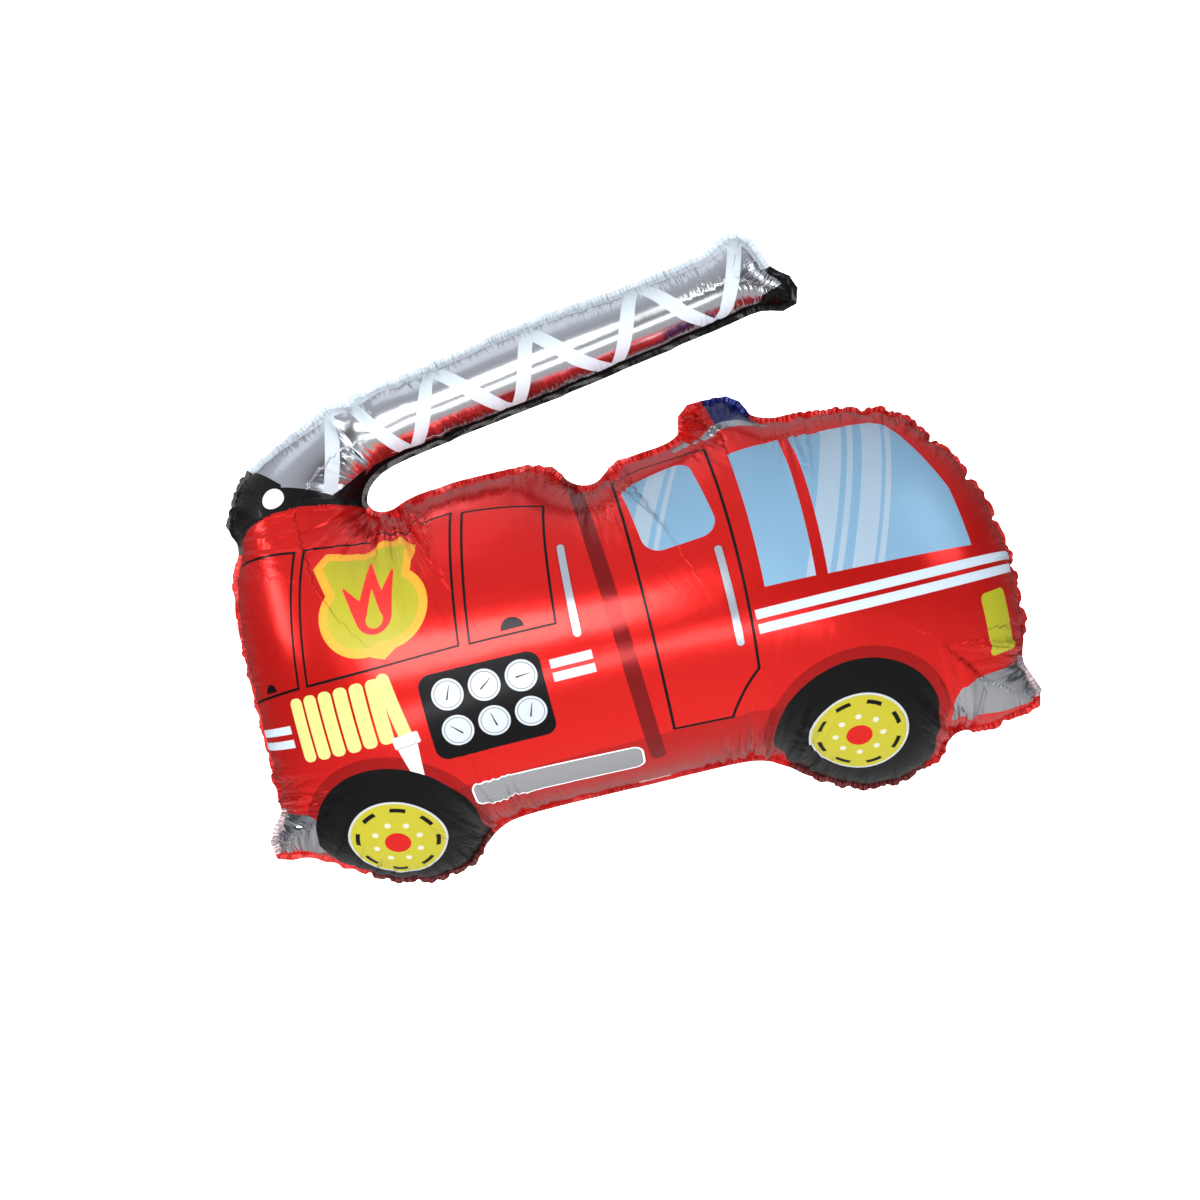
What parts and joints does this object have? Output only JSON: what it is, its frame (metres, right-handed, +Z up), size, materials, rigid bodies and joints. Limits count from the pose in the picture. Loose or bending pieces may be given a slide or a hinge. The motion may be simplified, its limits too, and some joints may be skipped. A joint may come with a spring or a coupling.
{
  "type": "foil balloon",
  "caption": "Inflated foil balloon shaped like a fire engine with a raised ladder limb, a flat valve in the bottom weld and a short filling tail.",
  "frame": {"origin": "the point on the lower edge of the bottom weld, midway between the wheels, where the ribbon is tied", "axes": "+X from the tail board to the nose, +Y from the near side to the far side, +Z up"},
  "size_m": [0.8678, 0.3532, 0.6338],
  "materials": {
    "printed_foil": "satin, inks over a metallised film",
    "silver_foil": "bright metallised film",
    "valve_film": "clear polythene film"
  },
  "bodies": {
    "truck": {"truck_front_panel": "printed_foil", "truck_back_panel": "printed_foil", "valve_front_film": "valve_film", "valve_back_film": "valve_film"},
    "ladder": {"ladder_front_panel": "silver_foil", "ladder_back_panel": "silver_foil"},
    "tail": {"tail_front_film": "silver_foil", "tail_back_film": "silver_foil"}
  },
  "joints": [
    {"name": "ladder_flex", "type": "hinge", "parent": "truck", "child": "ladder", "pos_m": [-0.312, 0, 0.359], "axis": [0, -1, 0], "range_deg": [-6, 8], "stiffness_Nm_per_rad": 5},
    {"name": "tail_fold", "type": "hinge", "parent": "truck", "child": "tail", "pos_m": [0, 0, 0], "axis": [1, 0, 0], "range_deg": [-180, 0]}
  ]
}
